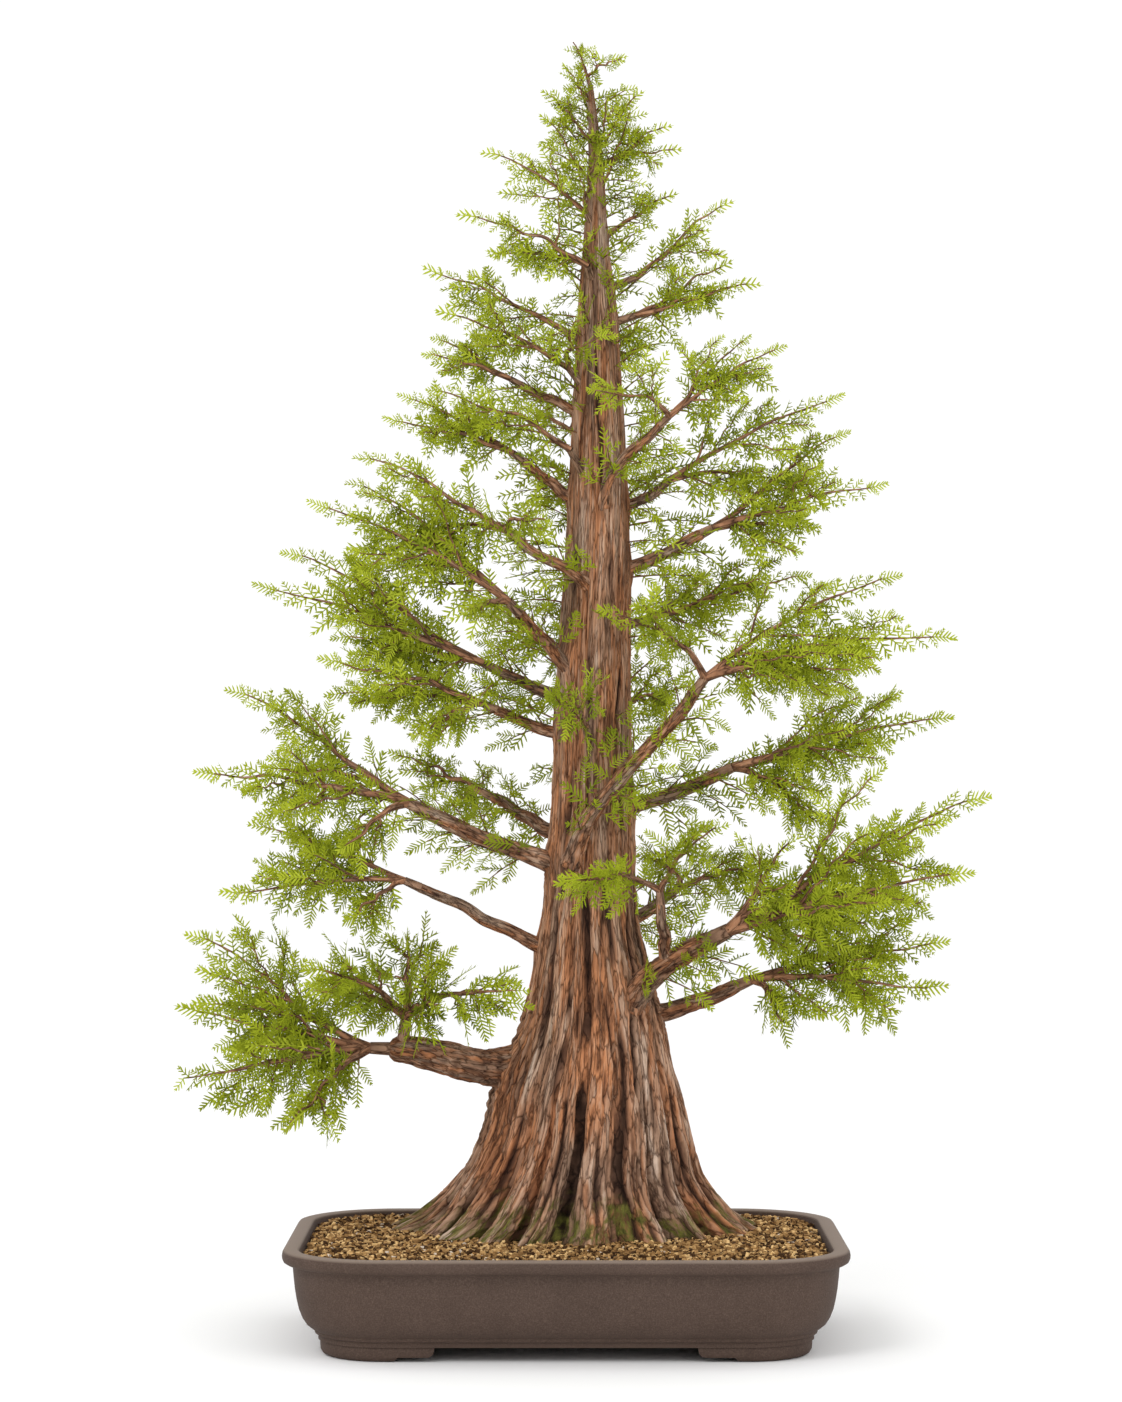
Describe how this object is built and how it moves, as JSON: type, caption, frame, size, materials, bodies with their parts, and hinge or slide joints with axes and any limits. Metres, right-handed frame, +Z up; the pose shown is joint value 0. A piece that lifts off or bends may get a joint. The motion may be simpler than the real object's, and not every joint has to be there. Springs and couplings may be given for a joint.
{
  "type": "dawn redwood bonsai",
  "caption": "Potted dawn redwood bonsai in formal upright style, with a flared fluted trunk, rising boughs and open tiers of soft green needles.",
  "frame": {"origin": "on the surface the pot's feet stand on, under the middle of the whole plant's box", "axes": "+Z up along the trunk, +X to the right as seen from the bonsai's front, which faces -Y"},
  "size_m": [0.6552, 0.396, 1.0338],
  "materials": {
    "clay": "unglazed grey-brown stoneware, matt, faintly speckled",
    "mulch": "loose tan bark granules",
    "bark": "stringy red-brown bark with grey ridges",
    "needles": "fresh green flat needles on red-brown twigs"
  },
  "bodies": {
    "root": {"bough_back_1": "bark", "bough_back_2": "bark", "bough_back_3": "bark", "bough_left_1": "bark", "bough_left_2": "bark", "bough_left_3": "bark", "bough_left_4": "bark", "bough_left_5": "bark", "bough_left_6": "bark", "bough_left_7": "bark", "bough_left_8": "bark", "bough_left_9": "bark", "bough_right_1": "bark", "bough_right_2": "bark", "bough_right_2_shoot": "bark", "bough_right_3": "bark", "bough_right_4": "bark", "bough_right_5": "bark", "bough_right_6": "bark", "bough_right_7": "bark", "needles_apex": "needles", "needles_back_1": "needles", "needles_back_2": "needles", "needles_back_3": "needles", "needles_back_4": "needles", "needles_back_5": "needles", "needles_back_6": "needles", "needles_back_7": "needles", "needles_back_8": "needles", "needles_front_1": "needles", "needles_left_10": "needles", "needles_left_11": "needles", "needles_left_12": "needles", "needles_left_13": "needles", "needles_left_14": "needles", "needles_left_1_inner": "needles", "needles_left_1_outer": "needles", "needles_left_2": "needles", "needles_left_3": "needles", "needles_left_4": "needles", "needles_left_5": "needles", "needles_left_6": "needles", "needles_left_7": "needles", "needles_left_8": "needles", "needles_left_9": "needles", "needles_right_1": "needles", "needles_right_10": "needles", "needles_right_11": "needles", "needles_right_2": "needles", "needles_right_2_shoot": "needles", "needles_right_3": "needles", "needles_right_4": "needles", "needles_right_5": "needles", "needles_right_6": "needles", "needles_right_7": "needles", "needles_right_8": "needles", "needles_right_9": "needles", "pot": "clay", "soil": "mulch", "trunk": "bark"}
  },
  "joints": []
}
